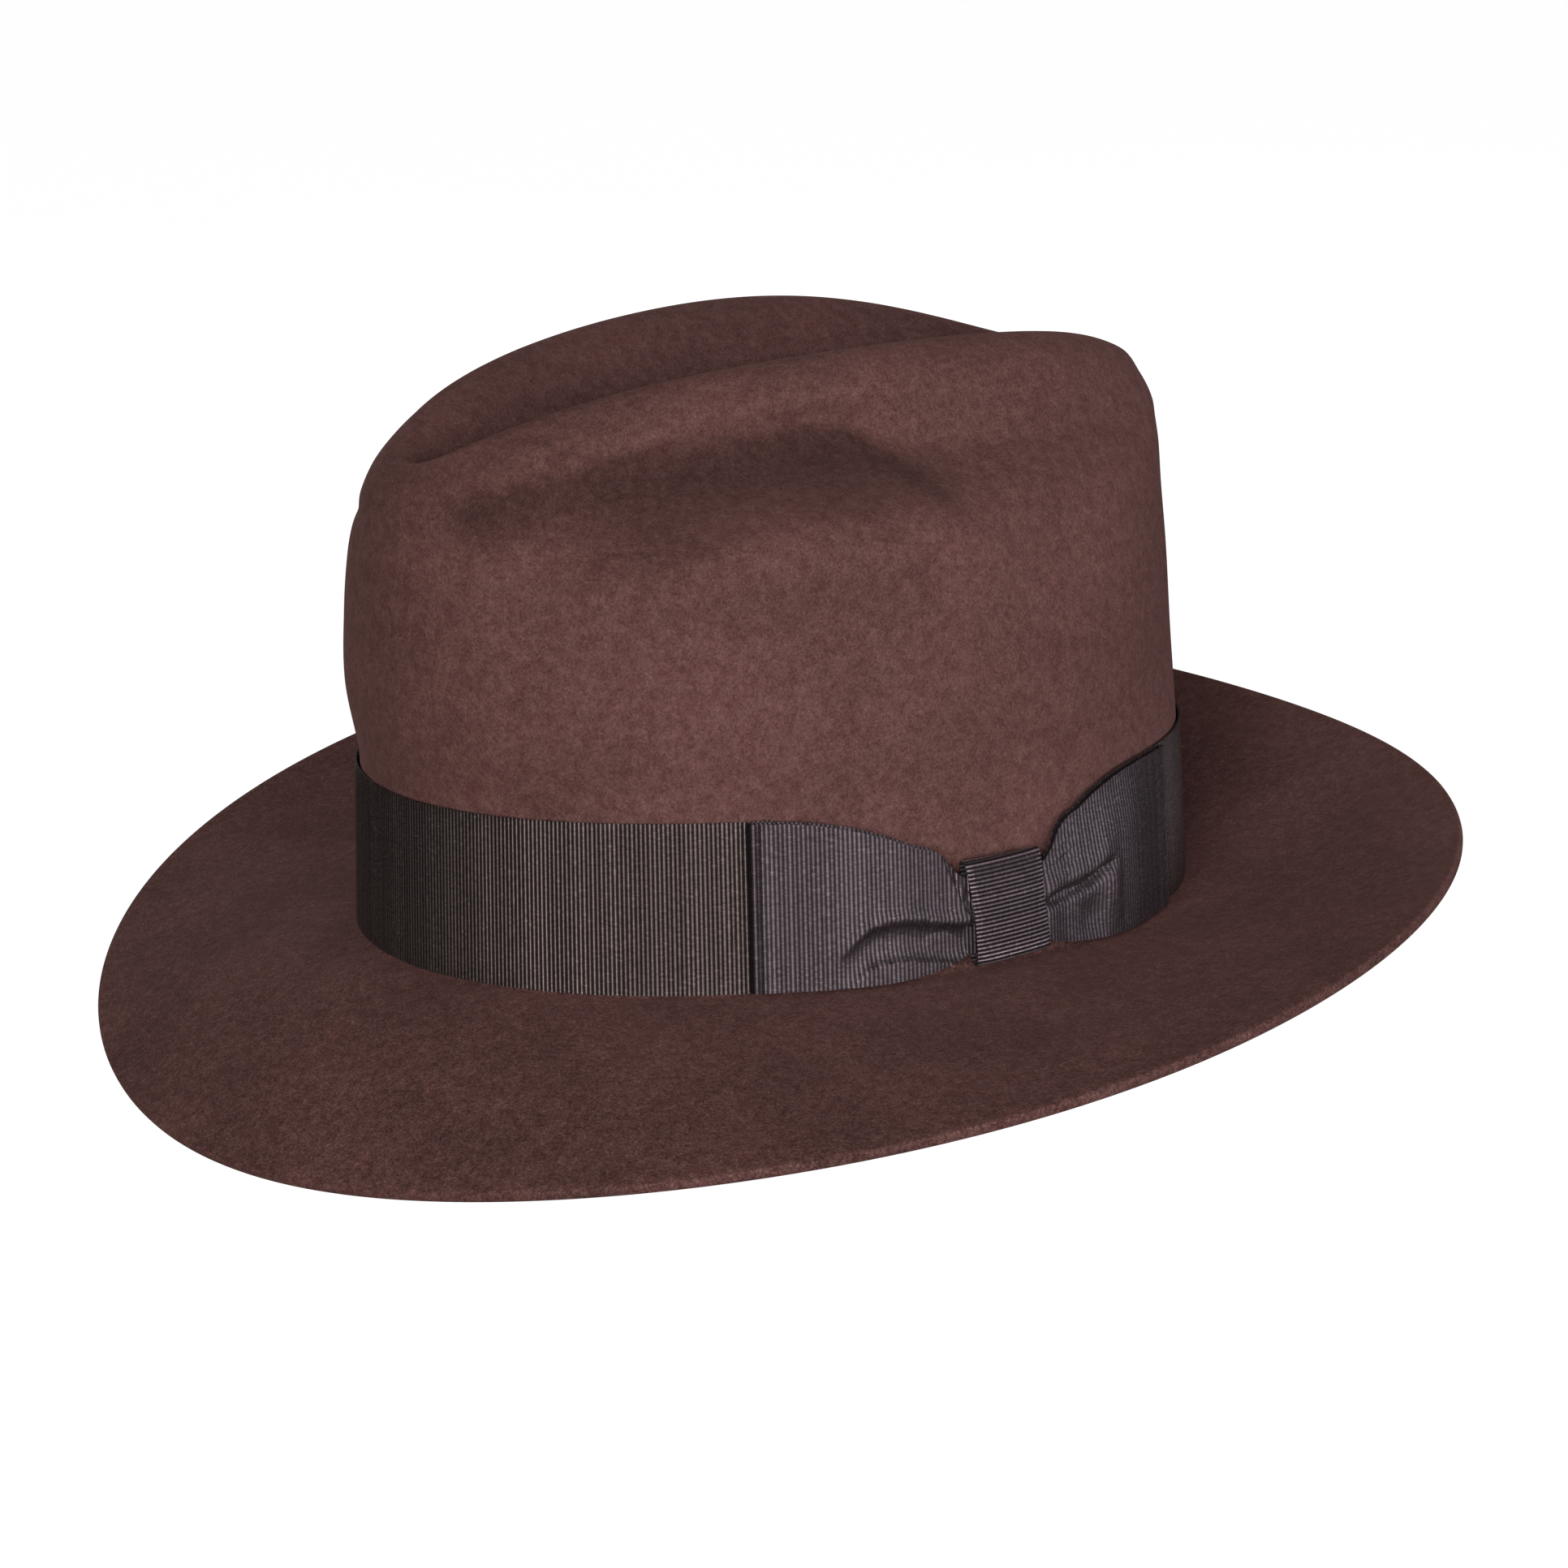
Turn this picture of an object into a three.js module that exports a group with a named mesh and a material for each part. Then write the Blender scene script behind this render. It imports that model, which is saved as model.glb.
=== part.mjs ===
// A felt fedora with a teardrop crown, a snap brim and a grosgrain band with a flat side bow.
// Units are millimetres and +Z is up. The front of the hat faces -Y and the wearer's left is +X.
// The origin is the middle of the head opening, level with the break where crown meets brim.
// Angles run round the oval from the front: 0 is the front, 90 degrees the wearer's left,
// 180 degrees the rear.
import * as THREE from 'three';

// ---- driving dimensions ----

const OVAL_STEPS = 48; // divisions round the head oval
const FELT = 2.5; // felt thickness
const HALF_WIDTH = 89; // crown at the break, half its side to side width
const HALF_LENGTH = 104; // crown at the break, half its front to rear length
const WALL_TAPER = 1.8; // how far the wall leans in over the height of the band
const WALL_TOP = 40; // height up to which the wall is straight
const BREAK_RADIUS = 1.2; // inside radius between brim and crown
const BREAK_LEVEL = -0.9; // height of the brim's upper face where that radius starts

const RIBBON = 0.6; // grosgrain thickness
const BAND_BOTTOM = 0.6;
const BAND_TOP = 38.5;
const BAND_OFFSET = 0.6; // felt face to the middle of the band
const BAND_GAP = 54; // from the knot's middle to each end of the band, under the loops

const BOW_REACH = 60; // from the knot's middle to the fold of each loop
const KNOT_HALF_WIDTH = 9.8;
const KNOT_BOTTOM = 1.2;
const KNOT_TOP = 25;

const SWEATBAND = 1.2; // leather thickness
const SWEATBAND_OFFSET = -4.9; // felt's outer face to the middle of the leather
const SWEATBAND_BOTTOM = 3;
const SWEATBAND_TOP = 44;
const REED_RADIUS = 0.9;
const REED_HEIGHT = 0.6;
const REED_TAPE = 0.4;

const LINING = 0.7; // satin thickness
const LINING_BOTTOM = 24;
const PIPING_RADIUS = 0.8;

// Brim width, measured level, and edge height, as sums of cosines of the angle from the front;
// the skew is the width's sines. The front is snapped down, the rear is turned up and the
// wearer's left sits a little low.
const BRIM_WIDTH = [67.8, 2.7, -8.8];
const BRIM_WIDTH_SKEW = [0, 1.6, 1.2];
const BRIM_EDGE_HEIGHT = [2.5, -24.8, -4.8, 0, -0.9];
const BRIM_LEFT_DROP = 5;
const BRIM_CURVE = 1.5; // above 1, the slope grows towards the edge

// Level rings of the crown's outer face from the straight wall over the ridge and down into
// the centre dent. `z` is the height at the front, side and rear, `y` the front and rear ends,
// `half` the half width, `egg` how much narrower the front is, and `square` fills the corners.
const CROWN_RINGS = [
  { z: [58, 60, 60], y: [-105.5, 100.5], half: 86.8, egg: 0.1, square: 0.01 },
  { z: [75, 79, 79], y: [-105.7, 100], half: 83.8, egg: 0.12, square: 0.01 },
  { z: [87, 94, 93], y: [-105.4, 99.7], half: 78.4, egg: 0.15, square: 0.016 },
  { z: [94, 103, 102], y: [-104.9, 99.5], half: 71.2, egg: 0.2, square: 0.034 },
  { z: [98.5, 108.5, 107.5], y: [-103.7, 99.1], half: 63.4, egg: 0.25, square: 0.058 },
  { z: [103, 113, 112], y: [-102.9, 98], half: 57.2, egg: 0.29, square: 0.085 },
  { z: [108.5, 120.5, 116.5], y: [-100.4, 95.6], half: 54.8, egg: 0.32, square: 0.078 },
  { z: [112.5, 129, 121], y: [-96.5, 92], half: 51.6, egg: 0.36, square: 0.058 },
  { z: [113.5, 134, 122.5], y: [-94.7, 84.5], half: 43.8, egg: 0.4, square: 0.033 },
  { z: [110, 131, 119], y: [-86, 75.5], half: 34.5, egg: 0.43, square: 0.02 },
  { z: [103, 120, 113], y: [-72, 63], half: 26, egg: 0.45, square: 0.01 },
  { z: [99, 107, 107], y: [-50, 46], half: 17, egg: 0.42, square: 0 },
  { z: [99, 101, 104], y: [-24, 26], half: 8.5, egg: 0.3, square: 0 },
];
const DENT_CENTRE = [0, 4, 100.5];
const BASE_EGG = 0.09;
const BASE_SQUARE = 0.012;

// The pinch on each side of the crown: a groove that rises from the nose to its highest point
// and falls again, with the felt full below it and swelling behind it. Lumps are given by
// height, middle y and z, and reach along y and z.
const GROOVE_TOP = 119.5;
const GROOVE_TOP_Y = -18;
const GROOVE_FALL = 13; // how far the groove's line falls 60 mm from its highest point
const GROOVE_DEPTH = 5;
const GROOVE_REACH = { above: 5, below: 8 };
const GROOVE_FRONT = { y: -94, fade: 26 }; // where it starts, and the length over which it deepens
const GROOVE_REAR = { y: 10, fade: 24 };
const FULLNESS = 10;
const FULLNESS_DROP = 17; // how far below the groove the felt is fullest
const FULLNESS_REACH = { above: 8, below: 16 };
const FULLNESS_FRONT = { y: -94, fade: 35 };
const FULLNESS_REAR = { y: 30, fade: 50 };
const REAR_SWELL = [4, 24, 112, 20, 13];
const SIDE_HOLLOW = [-1.2, -40, 82, 14, 13];
const PINCH_PLAN = [60, 100]; // half width and half length of the oval it moves the felt away from

// ---- materials ----

const felt = () => new THREE.MeshStandardMaterial({ color: 0x5b3f3d, roughness: 0.95, metalness: 0 });
const ribbon = () => new THREE.MeshStandardMaterial({ color: 0x3f393a, roughness: 0.6, metalness: 0 });
const leather = () => new THREE.MeshStandardMaterial({ color: 0x4a3024, roughness: 0.5, metalness: 0 });
const tape = () => new THREE.MeshStandardMaterial({ color: 0x2c2422, roughness: 0.8, metalness: 0 });
const plastic = () => new THREE.MeshStandardMaterial({ color: 0xd8d4c8, roughness: 0.4, metalness: 0 });
const satin = () => new THREE.MeshStandardMaterial({ color: 0x6e5648, roughness: 0.35, metalness: 0 });

// ---- small vector and interpolation helpers, on [x, y, z] arrays ----

const add = (a, b) => a.map((value, i) => value + b[i]);
const subtract = (a, b) => a.map((value, i) => value - b[i]);
const scale = (a, k) => a.map((value) => value * k);
const mix = (a, b, t) => a.map((value, i) => value + (b[i] - value) * t);
const unit = (a) => scale(a, 1 / Math.hypot(...a));
const cross = (a, b) => [
  a[1] * b[2] - a[2] * b[1],
  a[2] * b[0] - a[0] * b[2],
  a[0] * b[1] - a[1] * b[0],
];
const range = (count) => Array.from({ length: count }, (_, i) => i);
const span = (from, to, count) => range(count + 1).map((i) => from + ((to - from) * i) / count);
const degrees = (angle) => (angle * Math.PI) / 180;
const clamp01 = (t) => Math.min(1, Math.max(0, t));
const smooth = (t) => clamp01(t) ** 2 * (3 - 2 * clamp01(t));
const cosineSum = (terms, angle) => terms.reduce((sum, k, i) => sum + k * Math.cos(i * angle), 0);
const sineSum = (terms, angle) => terms.reduce((sum, k, i) => sum + k * Math.sin(i * angle), 0);
const ovalAngles = range(OVAL_STEPS).map((i) => (i * 2 * Math.PI) / OVAL_STEPS);

// ---- a closed body made from shared vertices ----

class Body {
  constructor() {
    this.points = [];
    this.faces = [];
  }

  row(points) {
    const first = this.points.length;
    this.points.push(...points);
    return points.map((_, i) => first + i);
  }

  quad(a, b, c, d) {
    this.faces.push([a, b, c], [a, c, d]);
  }

  // Joins two rows of the same length; both rows close on themselves.
  strip(rowA, rowB) {
    rowA.forEach((_, i) => {
      const next = (i + 1) % rowA.length;
      this.quad(rowA[i], rowA[next], rowB[next], rowB[i]);
    });
  }

  fan(pole, row, reversed) {
    row.forEach((_, i) => {
      const next = (i + 1) % row.length;
      this.faces.push(reversed ? [pole, row[next], row[i]] : [pole, row[i], row[next]]);
    });
  }

  volume() {
    const signed = this.faces.map(([a, b, c]) => {
      const [p, q, r] = [this.points[a], this.points[b], this.points[c]];
      const n = cross(q, r);
      return p[0] * n[0] + p[1] * n[1] + p[2] * n[2];
    });
    return signed.reduce((sum, value) => sum + value, 0) / 6;
  }

  mesh(name, material) {
    const outward = this.volume() > 0;
    const indices = this.faces.flatMap(([a, b, c]) => (outward ? [a, b, c] : [a, c, b]));
    const geometry = new THREE.BufferGeometry();
    geometry.setAttribute('position', new THREE.Float32BufferAttribute(this.points.flat(), 3));
    geometry.setIndex(indices);
    geometry.computeVertexNormals();
    const mesh = new THREE.Mesh(geometry, material);
    mesh.name = name;
    return mesh;
  }
}

// Thickens a grid of middle points, grid[u][v], into one solid. With `wrap`, the last u row
// joins the first; otherwise both ends are closed flat.
function sheet(grid, thickness, wrap) {
  const last = grid.length - 1;
  const at = (u) => (wrap ? grid[(u + grid.length) % grid.length] : grid[Math.min(last, Math.max(0, u))]);
  const sections = grid.map((line, u) => {
    const normals = line.map((_, v) => {
      const alongU = subtract(at(u + 1)[v], at(u - 1)[v]);
      const alongV = subtract(line[Math.min(line.length - 1, v + 1)], line[Math.max(0, v - 1)]);
      return unit(cross(alongU, alongV));
    });
    const offset = (side) => line.map((point, v) => add(point, scale(normals[v], side * thickness / 2)));
    return [...offset(1), ...offset(-1).reverse()];
  });
  const body = new Body();
  const rows = sections.map((section) => body.row(section));
  rows.slice(1).forEach((row, i) => body.strip(rows[i], row));
  if (wrap) {
    body.strip(rows[last], rows[0]);
    return body;
  }
  const count = rows[0].length;
  range(count / 2 - 1).forEach((v) => {
    const [start, end] = [rows[0], rows[last]];
    body.quad(start[v], start[count - 1 - v], start[count - 2 - v], start[v + 1]);
    body.quad(end[v], end[v + 1], end[count - 2 - v], end[count - 1 - v]);
  });
  return body;
}

// A ring of round section whose middle line is centre(angle).
function roundRing(centre, radius, sides) {
  const body = new Body();
  const rows = ovalAngles.map((angle) => {
    const middle = centre(angle);
    const out = planNormal(angle);
    return body.row(range(sides).map((i) => {
      const turn = (i * 2 * Math.PI) / sides;
      return add(add(middle, scale(out, radius * Math.cos(turn))), [0, 0, radius * Math.sin(turn)]);
    }));
  });
  rows.forEach((row, i) => body.strip(row, rows[(i + 1) % rows.length]));
  return body;
}

// ---- the felt's outer face ----

function oval(angle, { y, half, egg, square }) {
  const fill = 1 + (square * (1 - Math.cos(4 * angle))) / 2;
  const middle = (y[0] + y[1]) / 2;
  const halfLength = (y[1] - y[0]) / 2;
  return [
    half * Math.sin(angle) * (1 - egg * Math.cos(angle)) * fill,
    middle - halfLength * Math.cos(angle) * fill,
  ];
}

// The straight wall's plan at a height: the break's oval, leaning in with the height.
function wallOval(angle, height) {
  const lean = (WALL_TAPER * height) / WALL_TOP;
  const length = HALF_LENGTH - lean;
  return oval(angle, { y: [-length, length], half: HALF_WIDTH - lean, egg: BASE_EGG, square: BASE_SQUARE });
}

function planNormal(angle) {
  const step = 1e-3;
  const along = subtract(wallOval(angle + step, 0), wallOval(angle - step, 0));
  return unit([along[1], -along[0], 0]);
}

// A point beside the straight wall: `out` millimetres outside the felt's outer face.
function besideWall(angle, height, out) {
  return add([...wallOval(angle, height), height], scale(planNormal(angle), out));
}

function brimPoint(angle, share) {
  const width = cosineSum(BRIM_WIDTH, angle) + sineSum(BRIM_WIDTH_SKEW, angle);
  const out = BREAK_RADIUS + (width - BREAK_RADIUS) * share;
  const edge = cosineSum(BRIM_EDGE_HEIGHT, angle) - BRIM_LEFT_DROP * Math.sin(angle);
  const height = BREAK_LEVEL + (edge - BREAK_LEVEL) * share ** BRIM_CURVE;
  return add([...wallOval(angle, 0), height], scale(planNormal(angle), out));
}

function crownPoint(angle, ring) {
  const c = Math.cos(angle);
  const [front, side, rear] = ring.z;
  const rise = 0.46 * c ** 2 + 0.54 * c ** 4;
  const height = side + ((front - rear) / 2) * c + ((front + rear) / 2 - side) * rise;
  return [...oval(angle, ring), height];
}

// Profile stations from the brim's edge to the centre dent, each a closed ring round the hat.
const BREAK_DIAGONAL = BREAK_RADIUS * (1 - Math.SQRT1_2);
const STATIONS = [
  ...[1, 0.8, 0.6, 0.4, 0.2, 0].map((share) => (angle) => brimPoint(angle, share)),
  (angle) => besideWall(angle, BREAK_LEVEL + BREAK_DIAGONAL, BREAK_DIAGONAL),
  ...[BREAK_LEVEL + BREAK_RADIUS, 14, 26, WALL_TOP].map((height) => (angle) => besideWall(angle, height, 0)),
  ...CROWN_RINGS.map((ring) => (angle) => crownPoint(angle, ring)),
];
const FIRST_CROWN_STATION = STATIONS.length - CROWN_RINGS.length - 1;
const PINCH_END = FIRST_CROWN_STATION + 8.5;
const LAST_STATION = STATIONS.length - 1;

function lump(y, z, [height, middleY, middleZ, reachY, reachZ]) {
  return height * Math.exp(-(((y - middleY) / reachY) ** 2) - ((z - middleZ) / reachZ) ** 2);
}

// How far the pinch moves a point of the crown's outer face.
function pinch([x, y, z], place) {
  const between = (front, rear) => smooth((y - front.y) / front.fade) * smooth((rear.y - y) / rear.fade);
  const fold = (drop, reach) => Math.exp(-((drop / (drop > 0 ? reach.above : reach.below)) ** 2));
  const line = GROOVE_TOP - GROOVE_FALL * ((y - GROOVE_TOP_Y) / 60) ** 2;
  const groove = fold(z - line, GROOVE_REACH) * between(GROOVE_FRONT, GROOVE_REAR);
  const full = fold(z - line + FULLNESS_DROP, FULLNESS_REACH) * between(FULLNESS_FRONT, FULLNESS_REAR);
  const out = FULLNESS * full - GROOVE_DEPTH * groove + lump(y, z, REAR_SWELL) + lump(y, z, SIDE_HOLLOW);
  // It fades out at the middle of the front, towards the band, and over the rim into the dent.
  const reach = smooth((Math.abs(x) - 2) / 22) * smooth((z - 42) / 16) * smooth((PINCH_END - place) / 2);
  const aside = unit([x / PINCH_PLAN[0] ** 2, (y + 3) / PINCH_PLAN[1] ** 2, 0]);
  return scale(aside, out * reach);
}

// The outer face at an angle and a place along the profile, smooth through every station.
function feltFace(angle, place) {
  const k = Math.min(LAST_STATION - 1, Math.floor(place));
  const t = place - k;
  const [b, c] = [STATIONS[k](angle), STATIONS[k + 1](angle)];
  const a = k > 0 ? STATIONS[k - 1](angle) : subtract(scale(b, 2), c);
  const d = k + 2 <= LAST_STATION ? STATIONS[k + 2](angle) : DENT_CENTRE;
  const face = b.map((value, i) => {
    const linear = (c[i] - a[i]) * t;
    const square = (2 * a[i] - 5 * b[i] + 4 * c[i] - d[i]) * t ** 2;
    const cube = (3 * b[i] - a[i] - 3 * c[i] + d[i]) * t ** 3;
    return value + (linear + square + cube) / 2;
  });
  return add(face, pinch(face, place));
}

function feltNormal(angle, place) {
  const step = 1e-3;
  const before = Math.max(0, place - step);
  const after = Math.min(LAST_STATION, place + step);
  const round = subtract(feltFace(angle + step, place), feltFace(angle - step, place));
  const along = subtract(feltFace(angle, after), feltFace(angle, before));
  return unit(cross(round, along));
}

const insideFelt = (angle, place, depth) =>
  subtract(feltFace(angle, place), scale(feltNormal(angle, place), depth));

function feltBody() {
  const coarse = range(STATIONS.length);
  const fine = [
    ...range(FIRST_CROWN_STATION),
    ...span(FIRST_CROWN_STATION, LAST_STATION, 2 * (LAST_STATION - FIRST_CROWN_STATION)),
  ];
  const body = new Body();
  const skin = (places, depth) =>
    places.map((place) => body.row(ovalAngles.map((angle) => insideFelt(angle, place, depth))));
  const top = skin([...fine].reverse(), 0);
  const underside = skin(coarse, FELT);
  const rows = [...top, ...underside];
  rows.slice(1).forEach((row, i) => body.strip(rows[i], row));
  const [topPole, undersidePole] = body.row([DENT_CENTRE, subtract(DENT_CENTRE, [0, 0, FELT])]);
  body.fan(topPole, rows[0], true);
  body.fan(undersidePole, rows[rows.length - 1], false);
  return body;
}

// ---- band and bow, laid out along the wall from the middle of the knot ----

const KNOT_ANGLE = degrees(90);

// Turns a distance along the band into an angle; the wall is near enough an arc beside the bow.
const angleAlong = (distance) => KNOT_ANGLE + distance / HALF_LENGTH;

function bandBody() {
  const start = angleAlong(BAND_GAP);
  const end = angleAlong(-BAND_GAP) + 2 * Math.PI;
  const grid = span(start, end, OVAL_STEPS).map((angle) =>
    [BAND_BOTTOM, BAND_TOP].map((height) => besideWall(angle, height, BAND_OFFSET)));
  return sheet(grid, RIBBON, false);
}

// One flattened loop: out from the knot on the band, folded, and back on top to the knot.
// `side` is -1 for the loop towards the front and 1 for the one towards the rear.
function bowLoop(side, taperPower) {
  const inner = span(7, BOW_REACH - 1, 9).map((a) => [a, 1.5 + 0.75 * smooth((17 - a) / 6)]);
  const fold = [[BOW_REACH - 0.3, 1.65], [BOW_REACH, 2.15], [BOW_REACH - 0.3, 2.65]];
  const outer = span(BOW_REACH - 1, 7, 12).map((a) => {
    const swell = 2.2 * Math.sin(Math.PI * clamp01((a - 9) / 40)) ** 1.5;
    return [a, 2.8 + 1.5 * smooth((17 - a) / 6) + swell];
  });
  const grid = [...inner, ...fold, ...outer].map(([a, out]) => {
    const narrowing = clamp01((BOW_REACH - a) / (BOW_REACH - 11));
    const top = BAND_TOP - 15.6 * narrowing ** taperPower;
    const bottom = 0.7 + 2.6 * narrowing ** 6;
    return span(bottom, top, 3).map((height) => besideWall(angleAlong(side * a), height, out));
  });
  return sheet(grid, RIBBON - 0.1, false);
}

// The ribbon wrapped once round the middle of the bow, leaning slightly with its lower end aft.
function knotBody() {
  const middle = [(KNOT_BOTTOM + KNOT_TOP) / 2, 3.3];
  const reach = [(KNOT_TOP - KNOT_BOTTOM) / 2, 1.9];
  const soften = (value) => Math.sign(value) * Math.abs(value) ** 0.35;
  const grid = range(28).map((i) => {
    const turn = ((i + 0.5) * 2 * Math.PI) / 28;
    const height = middle[0] + reach[0] * soften(Math.sin(turn));
    const out = middle[1] + reach[1] * soften(Math.cos(turn));
    const lean = (2.4 * (middle[0] - height)) / (2 * reach[0]);
    return [-KNOT_HALF_WIDTH, KNOT_HALF_WIDTH].map((along) =>
      besideWall(angleAlong(along + lean), height, out));
  });
  return sheet(grid, RIBBON - 0.1, true);
}

// The short strip that the bow is sewn to, lying on the felt behind the knot.
function bowBacking() {
  const grid = span(-13.6, 13.6, 6).map((along) =>
    [4, 22].map((height) => besideWall(angleAlong(along), height, 0.6)));
  return sheet(grid, 0.4, false);
}

// ---- sweatband, its reed and the reed's tape ----

function sweatbandBody() {
  const heights = [SWEATBAND_BOTTOM, 16, 30, SWEATBAND_TOP];
  const grid = ovalAngles.map((angle) =>
    heights.map((height) => besideWall(angle, height, SWEATBAND_OFFSET)));
  return sheet(grid, SWEATBAND, true);
}

const reedBody = () =>
  roundRing((angle) => besideWall(angle, REED_HEIGHT, SWEATBAND_OFFSET), REED_RADIUS, 6);

// The tape runs down the leather's outer side, under the reed and up the inner side.
function reedTape() {
  const legReach = SWEATBAND / 2 + 0.3 + REED_TAPE / 2;
  const bend = REED_RADIUS + 0.3 + REED_TAPE / 2;
  const arc = span(0, -180, 4).map((turn) =>
    [bend * Math.cos(degrees(turn)), REED_HEIGHT + bend * Math.sin(degrees(turn))]);
  const section = [[legReach, 7.5], [legReach, 3], ...arc, [-legReach, 3], [-legReach, 7.5]];
  const grid = ovalAngles.map((angle) =>
    section.map(([out, height]) => besideWall(angle, height, SWEATBAND_OFFSET + out)));
  return sheet(grid, REED_TAPE, true);
}

// The small flat bow that covers the leather's seam at the rear.
function sweatbandBow() {
  const grid = span(-11, 11, 8).map((along) => {
    const half = 1.6 + 1.9 * smooth(Math.abs(along) / 9);
    const angle = Math.PI + along / HALF_WIDTH;
    return [38 - half, 38 + half].map((height) =>
      besideWall(angle, height, SWEATBAND_OFFSET - SWEATBAND / 2 - 0.9));
  });
  return sheet(grid, 1.0, false);
}

// ---- lining ----

const LINING_DEPTH = FELT + 0.7;
const LINING_SLACK = 2.2; // extra room between felt and lining at the top of the side wall
const LINING_TOP_PLACE = FIRST_CROWN_STATION + 2;
const liningEdge = (angle) => insideFelt(angle, LINING_TOP_PLACE, LINING_DEPTH + LINING_SLACK);

function liningSide() {
  const grid = ovalAngles.map((angle) => {
    const low = [LINING_BOTTOM, WALL_TOP].map((height) => besideWall(angle, height, -LINING_DEPTH));
    const high = [0.4, 0.8, 1.2, 1.6, 2].map((rise) => {
      const depth = LINING_DEPTH + LINING_SLACK * (rise / 2);
      return insideFelt(angle, FIRST_CROWN_STATION + rise, depth);
    });
    return [...low, ...high];
  });
  return sheet(grid, LINING, true);
}

const pipingCentre = (angle) => add(liningEdge(angle), [0, 0, PIPING_RADIUS + 0.5]);

function liningTip() {
  const crownOfTip = [0, 0, 90];
  const shares = [1, 0.8, 0.55, 0.28];
  const edge = (angle) =>
    subtract(pipingCentre(angle), scale(planNormal(angle), PIPING_RADIUS + 0.45));
  const rise = (share) => Math.sqrt(1 - share ** 2);
  const body = new Body();
  const skin = (list, lift) => list.map((share) => body.row(ovalAngles.map((angle) => {
    const rim = edge(angle);
    const point = mix(crownOfTip, rim, share);
    return [point[0], point[1], rim[2] + (crownOfTip[2] - rim[2]) * rise(share) ** 2 + lift];
  })));
  const rows = [...skin([...shares].reverse(), LINING / 2), ...skin(shares, -LINING / 2)];
  rows.slice(1).forEach((row, i) => body.strip(rows[i], row));
  const poles = body.row([LINING / 2, -LINING / 2].map((lift) => add(crownOfTip, [0, 0, lift])));
  body.fan(poles[0], rows[0], true);
  body.fan(poles[1], rows[rows.length - 1], false);
  return body;
}

// ---- the hat ----

const hat = new THREE.Group();
hat.name = 'fedora_hat';
hat.add(
  feltBody().mesh('felt_body', felt()),
  bandBody().mesh('hatband', ribbon()),
  bowBacking().mesh('bow_backing', ribbon()),
  bowLoop(-1, 2.3).mesh('bow_loop_front', ribbon()),
  bowLoop(1, 3.2).mesh('bow_loop_rear', ribbon()),
  knotBody().mesh('bow_knot', ribbon()),
  sweatbandBody().mesh('sweatband', leather()),
  reedBody().mesh('sweatband_reed', plastic()),
  reedTape().mesh('reed_tape', tape()),
  sweatbandBow().mesh('sweatband_bow', ribbon()),
  liningSide().mesh('lining_side', satin()),
  roundRing(pipingCentre, PIPING_RADIUS, 6).mesh('lining_piping', satin()),
  liningTip().mesh('lining_tip', satin()),
);

export default hat;
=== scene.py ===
"""A brown felt fedora with a grosgrain band and a flat side bow, built round its CAD frame."""

import math

import bpy
import numpy as np
from mathutils import Matrix, Vector


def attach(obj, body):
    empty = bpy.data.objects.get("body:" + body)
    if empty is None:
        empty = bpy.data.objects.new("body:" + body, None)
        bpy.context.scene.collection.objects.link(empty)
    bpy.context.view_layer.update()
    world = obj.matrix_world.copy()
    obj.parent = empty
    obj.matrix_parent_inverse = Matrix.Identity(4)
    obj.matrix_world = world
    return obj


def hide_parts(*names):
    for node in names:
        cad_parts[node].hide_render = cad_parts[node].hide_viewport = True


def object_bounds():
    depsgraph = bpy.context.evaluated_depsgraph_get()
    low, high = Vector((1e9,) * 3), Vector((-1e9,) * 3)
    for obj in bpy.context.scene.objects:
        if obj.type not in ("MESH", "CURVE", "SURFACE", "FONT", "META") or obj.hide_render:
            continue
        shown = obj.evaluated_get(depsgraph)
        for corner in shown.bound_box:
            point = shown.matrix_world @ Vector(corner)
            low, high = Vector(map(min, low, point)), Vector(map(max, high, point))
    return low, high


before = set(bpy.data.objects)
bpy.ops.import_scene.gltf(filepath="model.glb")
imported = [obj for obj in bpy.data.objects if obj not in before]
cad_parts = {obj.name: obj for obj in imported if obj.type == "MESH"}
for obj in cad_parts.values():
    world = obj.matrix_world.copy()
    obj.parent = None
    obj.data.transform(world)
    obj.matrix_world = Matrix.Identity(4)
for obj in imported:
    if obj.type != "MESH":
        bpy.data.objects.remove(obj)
CAD_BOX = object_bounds()

# Lengths are millimetres until a mesh is made. Angles run round the head oval: 0 is the front
# (-Y), 90 degrees the wearer's left (+X, the bow), 180 degrees the rear. The shape's numbers
# are the CAD part's own.
MM = 0.001
TAU = 2 * math.pi

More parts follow.
